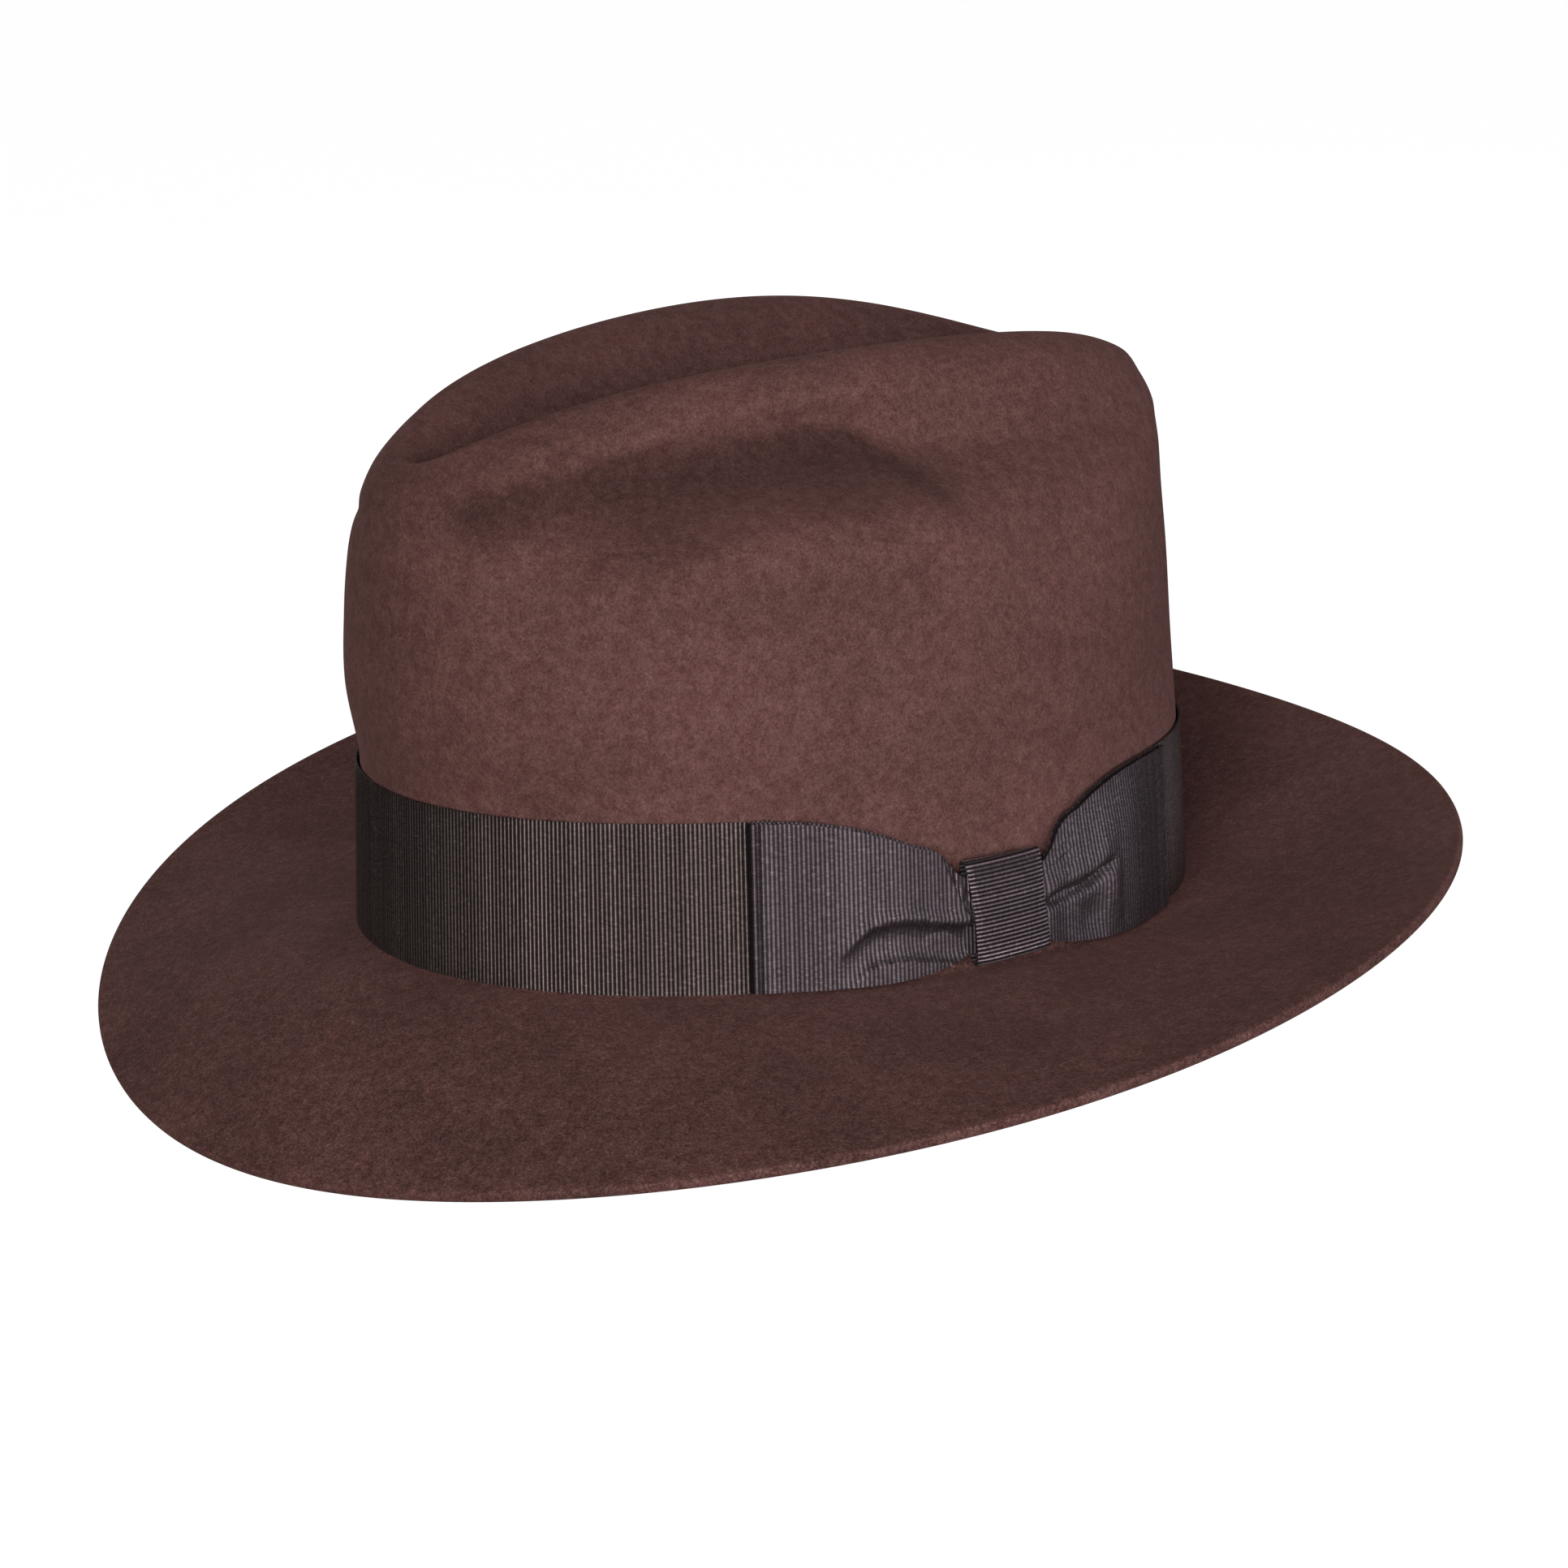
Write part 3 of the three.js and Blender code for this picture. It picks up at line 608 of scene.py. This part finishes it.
def felt_body():
    theta = FACE_ANGLES
    rows = [brim_face(theta, np.full(ROUND, share)) for share in np.linspace(1, 0, 46)]
    rows += [fillet_face(theta, np.full(ROUND, share)) for share in (0.25, 0.5, 0.75)]
    low_wall = np.linspace(BREAK_LEVEL + BREAK_RADIUS, WALL_STATIONS[0], 4)
    rows += [beside_wall(theta, np.full(ROUND, z), 0.0) for z in low_wall]
    places = np.arange(0, CROWN_START, 0.25).tolist() + np.linspace(CROWN_START, CROWN_END, 122).tolist()
    shades = [np.zeros(ROUND)] * len(rows)
    for place in places[1:]:
        rows.append(crown_face(theta, place))
        shades.append(crease_shade(rows[-1], place))
    cap = smooth_cap(rows[-1])
    shades += [np.zeros(ROUND)] * len(cap)
    outer = np.array(rows + cap)
    normals = grid_normals(outer, False, True) * -1
    inner = outer - normals * FELT
    # The cut edge of the brim, rounded a little at both corners.
    edge_out = unit(outer[0] - outer[1])
    corner = 0.55
    edge = [
        outer[0] + edge_out * corner * 0.7 - normals[0] * corner * 0.3,
        outer[0] + edge_out * corner - normals[0] * corner,
        outer[0] + edge_out * corner * 1.15 - normals[0] * FELT / 2,
        outer[0] + edge_out * corner - normals[0] * (FELT - corner),
        outer[0] + edge_out * corner * 0.7 - normals[0] * (FELT - corner * 0.3),
    ]
    skin = np.concatenate([outer[::-1], np.array(edge), inner])
    index = np.arange(skin.shape[0] * ROUND).reshape(skin.shape[0], ROUND)
    faces = quads(index, False, True)
    points = skin.reshape(-1, 3)
    pole = len(points)
    points = np.concatenate([points, [DENT_CENTRE], [np.array(DENT_CENTRE) - (0, 0, FELT)]])
    for row, centre, flip in ((index[0], pole, False), (index[-1], pole + 1, True)):
        following = np.roll(row, -1)
        for a, b in zip(row.tolist(), following.tolist()):
            faces.append((centre, a, b) if not flip else (centre, b, a))
    piece = make_mesh("felt_crown_and_brim", points, faces)
    # Painted shade along the shaded side of the pinch's groove, for the felt's material to darken.
    shade = np.zeros(len(points))
    shade[:outer.shape[0] * ROUND] = np.ravel(shades[::-1])
    set_shade(piece, shade)
    return piece


def smooth_cap(last):
    """Rows between the crown's last row and the dent's centre, eased so that they meet it level."""
    centre = np.array(DENT_CENTRE)
    rows = []
    for share in (0.8, 0.6, 0.4, 0.2):
        row = centre + (last - centre) * share
        row[:, 2] = centre[2] + (last[:, 2] - centre[2]) * share ** 2
        rows.append(row)
    return rows


# ---- band and bow ----

def angle_along(distance):
    """The angle at a distance in millimetres from the middle of the knot."""
    return math.pi / 2 + distance / HALF_LENGTH


def rib_wave(along, strength=1.0):
    return RIB_DEPTH * strength * np.cos(TAU * along / RIB_PITCH)


def hatband():
    start, end = angle_along(BAND_GAP), angle_along(-BAND_GAP) + TAU
    samples = 6
    coarse = np.linspace(start, end, 2000)
    path = beside_wall(coarse, 20.0, BAND_OFFSET)
    length = path_length(path)
    count = int(length[-1] / RIB_PITCH) * samples + 1
    along = np.linspace(0, length[-1], count)
    angle = np.interp(along, length, coarse)[:, None]
    height = np.array([RIBBON_FOOT, BAND_BOTTOM, 5, 12, 20, 28, 34, BAND_TOP - 0.5, BAND_TOP])[None]
    wander = 0.12 * np.sin(along / 23)[:, None] * np.ones_like(height)
    grid = beside_wall(angle + 0 * height, height + 0 * angle, BAND_OFFSET + 0.12)
    grid[..., 2] += wander * (height > 20)
    ribs = rib_wave(along)[:, None] * np.array([0.4, 1, 1, 1, 1, 1, 1, 1, 0.4])[None]
    uv = stack(along[:, None], height, 0.0)[..., :2]
    return sheet_solid("grosgrain_band", grid, 0.4, uv=uv, ribs=ribs)


def loop_edges(a, taper):
    """Height of the loop's lower and upper edge, with the upper edge's pleat by the knot."""
    narrowing = np.clip((BOW_REACH - a) / (BOW_REACH - 11), 0, 1)
    pleat = 1.0 * bump(a, 18, 5) - 1.2 * smooth((15.6 - a) / 2.2)
    return 0.1 + 3.2 * narrowing ** 6, BAND_TOP - 15.6 * narrowing ** taper + pleat


def bow_loop(name, side, taper, relief, rib_strength=1.0, tuck=0.0):
    """A flattened loop: out on the band, folded at its end, and back on top to the knot.
    `relief` gives the outer layer's height off the felt. `tuck` is how far its upper edge is drawn
    in to the layer below, from 0 to 1."""
    inner = np.arange(7, BOW_REACH - 1, RIB_PITCH / 4)
    turn = np.linspace(-90, 90, 9)[1:-1] * math.pi / 180
    fold_a = BOW_REACH - 0.6 + 0.6 * np.cos(turn)
    fold_out = 2.15 + 0.62 * np.sin(turn)
    outer = np.arange(BOW_REACH - 1, 7, -RIB_PITCH / 6)
    a = np.concatenate([inner, fold_a, outer])
    along = np.concatenate([[0], np.cumsum(np.abs(np.diff(a)))])
    across = np.linspace(0, 1, 60)
    low, high = loop_edges(a, taper)
    height = low[:, None] + (high - low)[:, None] * across[None]
    out = np.concatenate([
        1.5 + 0.75 * smooth((17 - inner) / 6), fold_out, np.full(len(outer), 2.8),
    ])[:, None] + 0 * height
    first = len(inner) + len(fold_a)
    out[first:] = relief(a[first:, None] + 0 * height[first:], height[first:])
    out[first:] -= tuck * smooth((across - 0.6) / 0.4)[None] * np.maximum(out[first:] - 2.8, 0)
    angle = angle_along(side * a[:, None])
    grid = beside_wall(angle, height, out)
    fade = np.concatenate([[0.4], np.ones(len(across) - 2), [0.4]])[None]
    ribs = rib_wave(along, rib_strength)[:, None] * fade
    uv = stack(along[:, None], height, 0.0)[..., :2]
    # Painted shade: the ribbon is darkened at the fold, where the gap behind it lies in shade.
    shade = smooth((a - BOW_REACH + 1.3) / 0.8)[:, None] * (out < 2.75) + 0 * height
    if side < 0:
        grid, uv, ribs, shade = grid[::-1], uv[::-1], ribs[::-1], shade[::-1]
    return sheet_solid(name, grid, 0.34, uv=uv, ribs=ribs, shade=shade)


def front_relief(a, z):
    """The front loop's outer layer, by distance from the knot's middle and height."""
    swell = 2.0 * np.sin(math.pi * np.clip((a - 9) / 44, 0, 1)) ** 1.3
    out = 3.2 + 1.2 * smooth((17 - a) / 6) + swell
    # The scoop: a crease that rises from low on the loop and runs level into the knot.
    line = 11.3 + 2.6 * bump(a, 28, 16) - 5.0 * smooth((a - 33) / 10)
    strength = smooth((44 - a) / 12)
    below = np.clip((line - z) / 9.0, 0, 1)
    scoop = np.where(z < line, np.sin(math.pi * below) ** 0.6, 0.0)
    lip = np.exp(-((z - line - 1.2) / 1.6) ** 2)
    out = out - strength * (2.1 * scoop - 0.9 * lip)
    # By the knot the top layer ends in a pleat, with the ribbon gathered under it.
    pleat_edge = 11.0 + 5.5 * np.clip((z - 13) / 13, 0, 1)
    under = smooth((pleat_edge - a) / 0.9)
    gathers = np.cos(TAU * (a + 0.12 * (z - 15)) / 1.7)
    out = out + under * (0.3 * gathers - 0.8)
    # Pressed flat beside the fold, with the line of the under layer showing.
    out = out - 0.7 * np.exp(-((a - 58.0) / 0.45) ** 2)
    return np.maximum(out, 2.5)


def rear_relief(a, z):
    """The rear loop's outer layer: pleats at the knot, then a crease that rises to a notch."""
    swell = 2.2 * np.sin(math.pi * np.clip((a - 9) / 46, 0, 1)) ** 1.2
    out = 2.9 + 1.2 * smooth((17 - a) / 6) + swell
    line = 12.0 + 0.2 * (a - 12) + 1.5 * smooth((a - 24) / 6)
    strength = smooth((a - 9) / 4) * smooth((34 - a) / 7)
    crease = np.exp(-((z - line) / 1.3) ** 2)
    shoulder = np.exp(-((z - line - 3.5) / 2.6) ** 2)
    out = out - strength * (2.0 * crease - 0.8 * shoulder)
    ridge = np.exp(-((a - 31) / 2.5) ** 2) * bump(z, 12, 11)
    hollow = np.exp(-((a - 24) / 4.0) ** 2) * bump(z, 6, 8)
    out = out + 1.0 * ridge - 1.1 * hollow
    fan = smooth((24 - a) / 8) * smooth((z - 16) / 6)
    out = out + 0.22 * fan * np.cos(TAU * (z - 0.5 * a) / 2.4)
    return np.maximum(out, 2.7)


def soften(wave, power):
    """Squares a wave's shoulders for a power below 1."""
    return np.sign(wave) * np.abs(wave) ** power


def bow_knot():
    """The ribbon round the middle of the bow: a flattened ring, ribbed along the hat."""
    count = 312
    turn = (np.arange(count) + 0.5) * TAU / count
    middle, reach = (KNOT_BOTTOM + KNOT_TOP) / 2, (KNOT_TOP - KNOT_BOTTOM) / 2
    height = middle + reach * soften(np.sin(turn), 0.55)
    out = 3.3 + 1.9 * soften(np.cos(turn), 0.35)
    ring = stack(height, out, 0.0)[..., :2]
    along = path_length(np.concatenate([ring, ring[:1]]))
    total = round(along[-1] / 0.97)
    even = np.linspace(0, along[-1], total * 6 + 1)[:-1]
    height = np.interp(even, along, np.append(height, height[0]))
    out = np.interp(even, along, np.append(out, out[0]))
    lean = 2.4 * (middle - height) / (2 * reach)
    across = np.linspace(-KNOT_HALF_WIDTH, KNOT_HALF_WIDTH, 24)
    profile = across[None] / KNOT_HALF_WIDTH
    front = smooth((out - 2.5) / 1.5)[:, None]
    waist = 1 - 0.05 * bump(height, middle, reach)[:, None]
    rise = 0.35 * (1 - profile ** 4) * front
    angle = angle_along(across[None] * waist + lean[:, None])
    tilt = 0.045 * across[None]
    grid = beside_wall(angle, height[:, None] + tilt * front, out[:, None] + rise - 0.2 * front)
    fade = np.clip((1 - np.abs(profile)) * 14, 0.3, 1)
    ribs = 0.12 * np.cos(TAU * even / (along[-1] / total))[:, None] * fade
    uv = stack(even[:, None] * total / along[-1], across[None], 0.0)[..., :2]
    return sheet_solid("bow_knot_wrap", grid, 0.34, wrap_u=True, uv=uv, ribs=ribs)


def bow_backing():
    along = np.arange(-13.6, 13.6, RIB_PITCH / 6)
    height = np.linspace(4, 22, 12)[None]
    grid = beside_wall(angle_along(along)[:, None], height, 0.6)
    uv = stack(along[:, None], height, 0.0)[..., :2]
    ribs = rib_wave(along, 0.6)[:, None] + 0 * height
    return sheet_solid("bow_backing_strip", grid, 0.25, uv=uv, ribs=ribs)


# ---- sweatband, reed and tape ----

def sweatband():
    height = np.array([3.0, 3.4, 5, 6.5, 8, 14, 22, 30, 38, 40.2, 40.8, 41.4, 42, 43, 43.6, 44.0])
    groove = np.where(np.isclose(height, 40.8) | np.isclose(height, 42), -0.12, 0.0)
    theta = FACE_ANGLES[:, None]
    sag = 0.18 * np.sin(theta * 9 + 1.3) * smooth((height - 20) / 20)[None]
    grid = beside_wall(theta, height[None], SWEATBAND_OFFSET + sag + groove[None])
    uv = stack(theta * HALF_LENGTH, height[None], 0.0)[..., :2]
    return sheet_solid("leather_sweatband", grid, 1.0, wrap_u=True, uv=uv)


def reed():
    centres = beside_wall(FACE_ANGLES, REED_HEIGHT, SWEATBAND_OFFSET)
    return tube("sweatband_reed_rod", centres, REED_RADIUS, 12)


def reed_tape():
    leg = SWEATBAND / 2 + 0.3 + REED_TAPE / 2
    bend = REED_RADIUS + 0.3 + REED_TAPE / 2
    turn = np.radians(np.linspace(0, -180, 13))
    out = np.concatenate([[leg] * 5, bend * np.cos(turn), [-leg] * 5])
    legs = np.linspace(7.5, 2.6, 5)
    height = np.concatenate([legs, REED_HEIGHT + bend * np.sin(turn), legs[::-1]])
    theta = FACE_ANGLES[:, None]
    grid = beside_wall(theta, height[None] + 0 * theta, SWEATBAND_OFFSET + out[None])
    run = np.concatenate([[0], np.cumsum(np.hypot(np.diff(out), np.diff(height)))])
    uv = stack(theta * HALF_LENGTH, run[None], 0.0)[..., :2]
    return sheet_solid("reed_tape_binding", grid, 0.36, wrap_u=True, uv=uv)


def stitches(name, centre_of, count, length, radius, lean=0.0):
    """A row of separate stitches round the sweatband, each a short rounded cord."""
    points, faces = [], []
    sides, rings = 6, 5
    for i in range(count):
        angle = (i + 0.5) * TAU / count
        half = length / 2 / HALF_LENGTH
        ts = np.linspace(-1, 1, rings)
        centres = centre_of(angle + half * ts, ts * lean)
        along = unit(np.gradient(centres, axis=0))
        side = plan_normal(np.full(rings, angle))
        up = np.cross(side, along)
        size = radius * np.sqrt(np.maximum(1 - (ts * 0.96) ** 4, 0.05))
        turn = np.arange(sides) * TAU / sides
        ring = side[:, None] * np.cos(turn)[None, :, None] + up[:, None] * np.sin(turn)[None, :, None]
        body = centres[:, None] + ring * size[:, None, None]
        first = len(points)
        points.extend(body.reshape(-1, 3).tolist())
        index = first + np.arange(rings * sides).reshape(rings, sides)
        faces += quads(index, False, True)
        faces += [index[0][::-1].tolist(), index[-1].tolist()]
    return make_mesh(name, points, faces, None, None)


def sweatband_bow():
    along = np.linspace(-11, 11, 89)
    across = np.linspace(-1, 1, 9)
    half = 1.6 + 1.9 * smooth(np.abs(along) / 9)
    puff = 0.35 * np.sin(math.pi * np.clip(np.abs(along) / 11, 0, 1))
    height = 38 + half[:, None] * across[None]
    fold = 0.14 * np.cos(3 * math.pi * across)[None] * smooth(1 - np.abs(along) / 7)[:, None]
    angle = math.pi + along[:, None] / HALF_WIDTH
    out = SWEATBAND_OFFSET - SWEATBAND / 2 - 0.8 - puff[:, None] * 0.6 - fold
    grid = beside_wall(angle + 0 * height, height, out)
    uv = stack(along[:, None], across[None] * 3.5, 0.0)[..., :2]
    return sheet_solid("sweatband_small_bow", grid, 0.5, uv=uv)


# ---- lining ----

def inside_felt(angle, place, depth):
    step = 1e-3
    point = crown_face(angle, place)
    round_ = crown_face(angle + step, place) - crown_face(angle - step, place)
    along = crown_face(angle, place + step) - crown_face(angle, max(0.0, place - step))
    return point - unit(np.cross(round_, along)) * depth


def lining_edge(angle):
    return inside_felt(angle, CROWN_START + 2.0, LINING_DEPTH + LINING_SLACK)


def lining_side():
    theta = FACE_ANGLES
    rows = [beside_wall(theta, z, -LINING_DEPTH) for z in (24.0, 24.4, 26, 30, 34, 37, WALL_TOP)]
    for rise in np.linspace(0.1, 2, 20):
        rows.append(inside_felt(theta, CROWN_START + rise, LINING_DEPTH + LINING_SLACK * rise / 2))
    grid = np.array(rows).transpose(1, 0, 2)
    up = np.linspace(0, 1, grid.shape[1])[None]
    pucker = 0.22 * np.sin(theta * 60)[:, None] * smooth(up * 4 - 3) + 0.2 * np.sin(theta * 14)[:, None] * up
    grid = grid + grid_normals(grid, True) * pucker[..., None]
    uv = stack(theta[:, None] * HALF_LENGTH, up * 55, 0.0)[..., :2]
    return sheet_solid("lining_side_wall", grid, 0.4, wrap_u=True, uv=uv)


def piping_centre(angle):
    return lining_edge(angle) + np.array([0, 0, PIPING_RADIUS + 0.5])


def lining_piping():
    return tube("lining_piping_cord", piping_centre(FACE_ANGLES), PIPING_RADIUS, 10)


def lining_tip():
    theta = FACE_ANGLES
    rim = piping_centre(theta) - plan_normal(theta) * (PIPING_RADIUS + 0.45)
    top = 90.0
    rows = []
    for share in np.linspace(1, 0.04, 26):
        point = np.array([0, 0, top]) * (1 - share) + rim * share
        point[:, 2] = rim[:, 2] + (top - rim[:, 2]) * (1 - share ** 2)
        point[:, 2] += 0.25 * np.sin(theta * 40) * smooth(share * 5 - 4)
        rows.append(point)
    outer = np.array(rows)
    index = np.arange(outer.shape[0] * ROUND).reshape(outer.shape[0], ROUND)
    count = index.size
    faces = quads(index, False, True, flip=True) + quads(index + count, False, True)
    faces += quads(np.stack([index[0], index[0] + count]), False, True)
    points = np.concatenate([outer.reshape(-1, 3) + (0, 0, 0.2), outer.reshape(-1, 3) - (0, 0, 0.2)])
    poles = len(points)
    points = np.concatenate([points, [(0, 0, top + 0.2), (0, 0, top - 0.2)]])
    for pole, lift, flip in ((poles, 0, True), (poles + 1, count, False)):
        row = index[-1] + lift
        for a, b in zip(row.tolist(), np.roll(row, -1).tolist()):
            faces.append((pole, b, a) if flip else (pole, a, b))
    return make_mesh("lining_tip_oval", points, faces, None, 50)


# ---- assembling ----

def dress(piece, material, slot, *nodes):
    piece.data.materials.clear()
    piece.data.materials.append(material)
    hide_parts(*nodes)
    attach(piece, "root")
    return piece


felt = felt_material()
ribbon = grosgrain_material("grosgrain", linear(50, 43, 42), linear(126, 110, 107))
# Lit copies of the band's ribbon: the bow's loops are tinted blue for painted bluish light, and the knot is
# tinted blue and made lighter for painted light.
bow_ribbon_painted_blue_light = grosgrain_material("grosgrain_bow_painted_blue_light", linear(72, 64, 68), linear(120, 106, 110))
knot_ribbon_painted_light = grosgrain_material("grosgrain_knot_painted_light", linear(46, 40, 42), linear(154, 136, 140))
small_ribbon = grosgrain_material("grosgrain_small", linear(16, 13, 13), linear(100, 88, 85), 0.5)
leather = leather_material()
satin = satin_material()
tape = tape_material()
thread = thread_material("stitch_thread", linear(120, 96, 78), linear(86, 66, 52))
plastic = reed_material()

dress(felt_body(), felt, "felt", "felt_body")
band = dress(hatband(), ribbon, "grosgrain", "hatband")
backing = dress(bow_backing(), ribbon, "grosgrain", "bow_backing")
front_loop = bow_loop("bow_front_loop", -1, 2.3, front_relief)
rear_loop = bow_loop("bow_rear_loop", 1, 3.2, rear_relief, rib_strength=0.3, tuck=0.8)
dress(front_loop, bow_ribbon_painted_blue_light, "grosgrain", "bow_loop_front")
dress(rear_loop, bow_ribbon_painted_blue_light, "grosgrain", "bow_loop_rear")
knot = dress(bow_knot(), knot_ribbon_painted_light, "grosgrain", "bow_knot")
leather_band = dress(sweatband(), leather, "leather", "sweatband")
dress(reed(), plastic, "reed", "sweatband_reed")
binding = dress(reed_tape(), tape, "tape", "reed_tape")
dress(sweatband_bow(), small_ribbon, "grosgrain", "sweatband_bow")
side_lining = dress(lining_side(), satin, "satin", "lining_side")
dress(lining_piping(), satin, "satin", "lining_piping")
tip_lining = dress(lining_tip(), satin, "satin", "lining_tip")

inner_out = SWEATBAND_OFFSET - SWEATBAND / 2 - 0.3 - REED_TAPE - 0.1
sewing = stitches(
    "sweatband_stitching",
    lambda angle, lean: beside_wall(angle, 5.4 + lean, inner_out),
    230, 1.9, 0.2, 0.35,
)
dress(sewing, thread, "tape")


# ---- stage ----

def aim(thing, back, roll=0.0):
    """Points an object's -Z axis against `back`, with +Z up, rolled about that axis."""
    back = Vector(back).normalized()
    right = Vector((0, 0, 1)).cross(back).normalized()
    up = back.cross(right)
    r = right * math.cos(roll) + up * math.sin(roll)
    u = up * math.cos(roll) - right * math.sin(roll)
    thing.rotation_mode = "QUATERNION"
    thing.rotation_quaternion = Matrix((r, u, back)).transposed().to_quaternion()


def direction(azimuth, elevation):
    a, e = math.radians(azimuth), math.radians(elevation)
    return Vector((math.sin(a) * math.cos(e), -math.cos(a) * math.cos(e), math.sin(e)))


CAMERA_AZIMUTH = 54.0
CAMERA_ELEVATION = 16.25
CAMERA_ROLL = -1.26
CAMERA_DISTANCE = 0.8985
LENS = 83.89

camera_data = bpy.data.cameras.new("camera")
camera_data.sensor_width = 36.0
camera_data.lens = LENS
camera_data.shift_x = 0.01066
camera_data.shift_y = 0.05782
camera_data.clip_start = 0.01
camera_data.clip_end = 50.0
camera = bpy.data.objects.new("camera", camera_data)
bpy.context.scene.collection.objects.link(camera)
camera.location = direction(CAMERA_AZIMUTH, CAMERA_ELEVATION) * CAMERA_DISTANCE
aim(camera, direction(CAMERA_AZIMUTH, CAMERA_ELEVATION), math.radians(CAMERA_ROLL))
bpy.context.scene.camera = camera


LIGHT_DISTANCE = 1.7
LIGHT_SIZE = 0.9
WHITE = (1.0, 1.0, 1.0)
# Name, azimuth, elevation, power and colour: a key, a row of low lights from the front round to
# the rear, a high one behind, and two for the far side.
LIGHTS = (
    ("key", 40, 25, 3.5, WHITE),
    ("low_front", 43, 8, 13.0, WHITE),
    ("low_side", 70, 8, 4.5, WHITE),
    ("low_bow", 100, 8, 4.4, (0.95, 0.96, 1.0)),
    ("low_rear", 130, 8, 5.2, (0.86, 0.91, 1.0)),
    ("far_rear", 225, 8, 6.5, WHITE),
    ("far_side", 262, 8, 4.0, WHITE),
    ("high_rear", 170, 50, 0.8, (0.85, 0.9, 1.0)),
)


def soft_light(name, azimuth, elevation, power, colour):
    data = bpy.data.lights.new(name, "AREA")
    data.shape = "DISK"
    data.size = LIGHT_SIZE
    data.energy = power
    data.color = colour
    light = bpy.data.objects.new(name, data)
    bpy.context.scene.collection.objects.link(light)
    light.location = Vector((0, 0, 0.05)) + direction(azimuth, elevation) * LIGHT_DISTANCE
    aim(light, direction(azimuth, elevation))


for light in LIGHTS:
    soft_light(*light)
# Straight behind the bow, a glint would run along the band's edge.
bpy.data.objects["far_rear"].visible_glossy = False

WALL_FILL = 0.025

# The studio's white wall is full white to the eye of the camera, and a dim fill to the hat.
world = bpy.data.worlds.new("studio")
bpy.context.scene.world = world
world.use_nodes = True
wall = world.node_tree.nodes["Background"]
wall.inputs["Color"].default_value = (1, 1, 1, 1)
seen = world.node_tree.nodes.new("ShaderNodeLightPath").outputs["Is Camera Ray"]
level = world.node_tree.nodes.new("ShaderNodeMapRange")
world.node_tree.links.new(seen, level.inputs["Value"])
level.inputs["To Min"].default_value = WALL_FILL
level.inputs["To Max"].default_value = 1.0
world.node_tree.links.new(level.outputs["Result"], wall.inputs["Strength"])

floor_height = CAD_BOX[0][2] - 0.0012
bpy.ops.mesh.primitive_plane_add(size=12, location=(0, 0, floor_height))
floor = bpy.context.active_object
floor.name = "floor"
floor.data.materials.append(floor_material())
# The glowing floor is seen, but casts no light up on to the hat.
floor.visible_diffuse = False
floor.visible_glossy = False

bpy.context.scene.view_settings.view_transform = "Standard"
bpy.context.scene.view_settings.look = "None"
